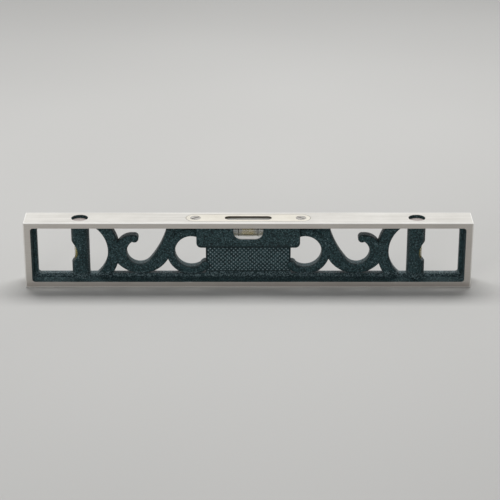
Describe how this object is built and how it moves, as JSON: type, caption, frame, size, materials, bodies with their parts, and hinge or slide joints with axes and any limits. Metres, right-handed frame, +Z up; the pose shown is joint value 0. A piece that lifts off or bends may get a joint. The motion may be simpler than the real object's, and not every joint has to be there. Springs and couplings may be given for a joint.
{
  "type": "precision machinist level",
  "caption": "Long cast-iron machinist's level with ground rails, open scrollwork, a checkered panel, a main vial under a slotted cover plate and an upright vial in each post.",
  "frame": {"origin": "middle of the ground base, which the level rests on", "axes": "+X along the level, +Y from the front, where the main vial's window is, to the back, +Z up"},
  "size_m": [0.4572, 0.0286, 0.0714],
  "materials": {
    "cast_iron_enamelled": "ground rails bare, the rest in dark blue-green enamel",
    "cover_plate_steel": "ground and plated",
    "screw_steel": "turned",
    "bed_white": "white, smooth",
    "vial_glass": "clear",
    "vial_spirit": "clear amber liquid",
    "vial_gas": "clear",
    "packing_plaster": "pale plaster",
    "plug_metal": "dull"
  },
  "bodies": {
    "level": {"frame_casting": "cast_iron_enamelled", "cover_plate": "cover_plate_steel", "cover_screw_left": "screw_steel", "cover_screw_right": "screw_steel", "main_vial_bed": "bed_white", "main_vial_glass": "vial_glass", "main_vial_spirit": "vial_spirit", "main_vial_pad_left": "packing_plaster", "main_vial_pad_right": "packing_plaster", "plumb_vial_glass_left": "vial_glass", "plumb_vial_spirit_left": "vial_spirit", "plumb_vial_seat_left": "packing_plaster", "plumb_vial_packing_left": "packing_plaster", "plumb_plug_left": "plug_metal", "plumb_vial_glass_right": "vial_glass", "plumb_vial_spirit_right": "vial_spirit", "plumb_vial_seat_right": "packing_plaster", "plumb_vial_packing_right": "packing_plaster", "plumb_plug_right": "plug_metal"},
    "main_bubble": {"main_vial_bubble": "vial_gas"},
    "plumb_bubble_left": {"plumb_vial_bubble_left": "vial_gas"},
    "plumb_bubble_right": {"plumb_vial_bubble_right": "vial_gas"}
  },
  "joints": [
    {"name": "main_bubble_travel", "type": "slide", "parent": "level", "child": "main_bubble", "axis": [1, 0, 0], "range_m": [-0.012, 0.012], "stiffness_N_per_m": 0.05, "deforming": ["main_vial_spirit"]},
    {"name": "plumb_bubble_left_rise", "type": "slide", "parent": "level", "child": "plumb_bubble_left", "axis": [0, 0, 1], "range_m": [-0.0328, 0], "stiffness_N_per_m": 0.5, "springref_m": 0.03, "deforming": ["plumb_vial_spirit_left"]},
    {"name": "plumb_bubble_right_rise", "type": "slide", "parent": "level", "child": "plumb_bubble_right", "axis": [0, 0, 1], "range_m": [-0.0328, 0], "stiffness_N_per_m": 0.5, "springref_m": 0.03, "deforming": ["plumb_vial_spirit_right"]}
  ]
}
